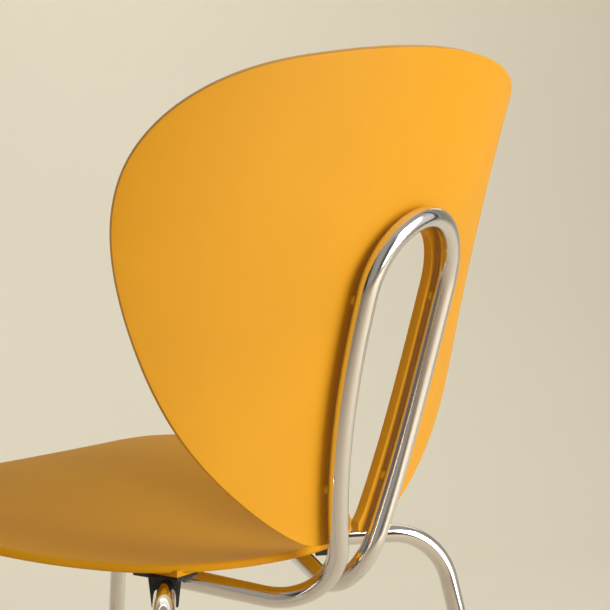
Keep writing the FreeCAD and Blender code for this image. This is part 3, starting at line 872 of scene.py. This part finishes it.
class CHAIR_OT_stage(bpy.types.Operator):
    """Make the floor, the backdrop, the lights and the camera"""
    bl_idname = "chair.stage"
    bl_label = "Stage"

    def execute(self, context):
        yaw = math.radians(55.76)
        pitch = math.radians(-2.84)
        eye = Vector((0.967, 0.801, 0.660))
        ahead = Vector((-math.sin(yaw) * math.cos(pitch), -math.cos(yaw) * math.cos(pitch), math.sin(pitch)))
        level = Vector((ahead.x, ahead.y, 0)).normalized()
        right = Vector((level.y, -level.x, 0))
        self.backdrop(right, level)
        self.surroundings(context.scene, right, level)
        self.flags(right, level)
        middle = Vector((0, 0, 0.5))
        warm = (1.0, 0.97, 0.92)
        side_lit = middle + right * 2.0 - level * 1.0 + Vector((0, 0, 0.7))
        overhead = middle + Vector((0, 0, 2.2)) - level * 0.5
        behind = middle + level * 1.5 - right * 0.8 + Vector((0, 0, 1.9))
        wall = middle + level * 3.4 - right * 0.8
        rear = middle + level * 1.7 + right * 0.3 + Vector((0, 0, 1.5))
        for lit in (lamp("key", side_lit, middle, 1.5, 2.0, 44, warm),
                    lamp("top", overhead, middle, 2.2, 2.2, 1, warm),
                    lamp("wash", behind, wall, 2.4, 1.4, 22, (1.0, 0.985, 0.96)),
                    lamp("rear", rear, middle, 2.6, 0.9, 5, warm)):
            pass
        context.scene.view_settings.view_transform = "Standard"

        clear_choice()
        bpy.ops.object.camera_add(location=eye)
        camera = bpy.context.object
        camera.name = "photo_view"
        camera.data.sensor_width = 36.0
        camera.data.lens = 89.94
        camera.data.clip_start = 0.02
        camera.rotation_euler = ahead.to_track_quat("-Z", "Y").to_euler()
        context.scene.camera = camera
        return {"FINISHED"}

    def backdrop(self, right, level):
        """Floor and wall in one sweep, a little darker toward the camera."""
        near, far, high, half_width, sweep = -6.0, 3.2, 5.0, 6, 1.4
        profile = bent([(near, 0, 0), (far, 0, 0), (far, 0, high)], [sweep], 0.05)
        rows = []
        for run, _, z in profile:
            rows.append([(level * run + right * w + Vector((0, 0, z))) / MM
                         for w in np.linspace(-half_width, half_width, 9)])
        floor = shaped_grid("backdrop", rows)
        smooth(floor, 80)
        n = Nodes("backdrop")
        base = tuple(props("look").wall)
        grain = n.noise(220.0, 4.0, 0.6)
        ahead_of = n.add("ShaderNodeVectorMath", {0: n.place(), 1: level},
                         operation="DOT_PRODUCT").outputs["Value"]
        plain = n.tint(n.spread(n.noise(2.0), 0, 1), scaled(base, 0.985), base)
        toned = n.add("ShaderNodeMix", {0: n.spread(ahead_of, 0.0, 1.0, -1.1, 0.6), 6: (0.74, 0.62, 0.49, 1),
                                        7: plain}, data_type="RGBA")
        floor.data.materials.append(n.surface(**{
            "Base Color": toned.outputs[2], "Roughness": n.spread(grain, 0.85, 0.95),
            "Specular IOR Level": 0.1, "Normal": n.bump(grain, 0.05, 0.0005)}))

    def flags(self, right, level):
        """Black panels on the camera's side, seen only in the chrome."""
        n = Nodes("flag")
        cloth = n.surface(**{"Base Color": n.tint(n.noise(40.0), (0.006, 0.006, 0.006), (0.012, 0.011, 0.010)),
                             "Roughness": n.spread(n.noise(90.0), 0.8, 0.95)})
        # bearing from the camera's side in degrees, distance and width in metres
        for bearing, distance, width in ((-62, 1.5, 0.20), (-28, 1.7, 0.07), (24, 1.7, 0.06), (103, 1.5, 0.14)):
            turn = math.radians(bearing)
            foot = right * math.sin(turn) * distance - level * math.cos(turn) * distance
            across = right * math.cos(turn) + level * math.sin(turn)
            rows = [[(foot + across * w + Vector((0, 0, z))) / MM for w in (-width / 2, width / 2)]
                    for z in (0.02, 2.4)]
            flag = shaped_grid("flag", rows)
            flag.data.materials.append(cloth)
            flag.visible_camera = flag.visible_diffuse = flag.visible_shadow = False

    def surroundings(self, scene, right, level):
        """Light room with a few darker gaps, by bearing from the camera's side, that the chrome mirrors."""
        n = Nodes("studio", world=True)
        ray = n.add("ShaderNodeTexCoord").outputs["Generated"]
        aside = n.add("ShaderNodeVectorMath", {0: ray, 1: right}, operation="DOT_PRODUCT").outputs["Value"]
        toward = n.add("ShaderNodeVectorMath", {0: ray, 1: -level}, operation="DOT_PRODUCT").outputs["Value"]
        bearing = n.add("ShaderNodeMath", {0: aside, 1: toward}, operation="ARCTAN2").outputs[0]
        share = n.add("ShaderNodeMath", {0: bearing, 1: 1 / (2 * math.pi), 2: 0.5},
                      operation="MULTIPLY_ADD").outputs[0]
        ramp = n.add("ShaderNodeValToRGB", {"Fac": share})
        # bearing in degrees and brightness
        stops = ((-180, 0.62), (-130, 0.50), (-116, 0.06), (-100, 0.34), (-62, 0.36), (-50, 0.06), (-38, 0.05),
                 (-28, 0.40), (0, 0.50), (22, 0.44), (30, 0.08), (40, 0.10), (50, 0.75), (90, 1.0), (112, 0.9),
                 (122, 0.06), (136, 0.40), (180, 0.62))
        marks = ramp.color_ramp.elements
        marks.remove(marks[1])
        for i, (angle, light) in enumerate(stops):
            mark = marks[0] if i == 0 else marks.new(angle / 360 + 0.5)
            mark.position = angle / 360 + 0.5
            mark.color = (light, light * (0.87 + 0.10 * light), light * (0.72 + 0.2 * light), 1)
        up = n.add("ShaderNodeSeparateXYZ", {"Vector": ray}).outputs["Z"]
        ceiling = n.add("ShaderNodeMix", {0: n.spread(up, 0.0, 1.0, 0.35, 0.75), 6: ramp.outputs["Color"],
                                          7: (0.50, 0.48, 0.43, 1)}, data_type="RGBA")
        strength = 0.74 * props("look").light
        shade = n.add("ShaderNodeBackground", {"Color": ceiling.outputs[2], "Strength": strength})
        out = n.add("ShaderNodeOutputWorld")
        n.tree.links.new(shade.outputs[0], out.inputs["Surface"])
        scene.world = n.owner


class CHAIR_PT_panel(bpy.types.Panel):
    """Sizes, colours and pieces of the chair"""
    bl_idname = "CHAIR_PT_panel"
    bl_label = "Stacking chair"
    bl_space_type = "VIEW_3D"
    bl_region_type = "UI"
    bl_category = "Chair"

    def draw(self, context):
        for group in GROUPS:
            box = self.layout.box()
            box.label(text=group.replace("_", " ").capitalize())
            holder = getattr(context.scene, "chair_" + group)
            for key in holder.__annotations__:
                box.prop(holder, key)
        for operator in OPERATORS:
            self.layout.operator(operator.bl_idname)


GROUPS = {"frame": CHAIR_PG_frame, "loop": CHAIR_PG_loop, "back": CHAIR_PG_back, "seat": CHAIR_PG_seat,
          "small": CHAIR_PG_small, "look": CHAIR_PG_look}
OPERATORS = (CHAIR_OT_back, CHAIR_OT_seat, CHAIR_OT_legs, CHAIR_OT_loop, CHAIR_OT_saddles, CHAIR_OT_glides,
             CHAIR_OT_fixings, CHAIR_OT_stage)


def register():
    for cls in (*GROUPS.values(), *OPERATORS, CHAIR_PT_panel):
        bpy.utils.register_class(cls)
    for name, group in GROUPS.items():
        setattr(bpy.types.Scene, "chair_" + name, PointerProperty(type=group))


def unregister():
    for name in GROUPS:
        delattr(bpy.types.Scene, "chair_" + name)
    for cls in reversed((*GROUPS.values(), *OPERATORS, CHAIR_PT_panel)):
        bpy.utils.unregister_class(cls)


def main():
    register()
    bpy.ops.chair.back()
    bpy.ops.chair.seat()
    bpy.ops.chair.legs()
    bpy.ops.chair.loop()
    bpy.ops.chair.saddles()
    bpy.ops.chair.glides()
    bpy.ops.chair.fixings()
    bpy.ops.chair.stage()


if __name__ == "__main__":
    main()
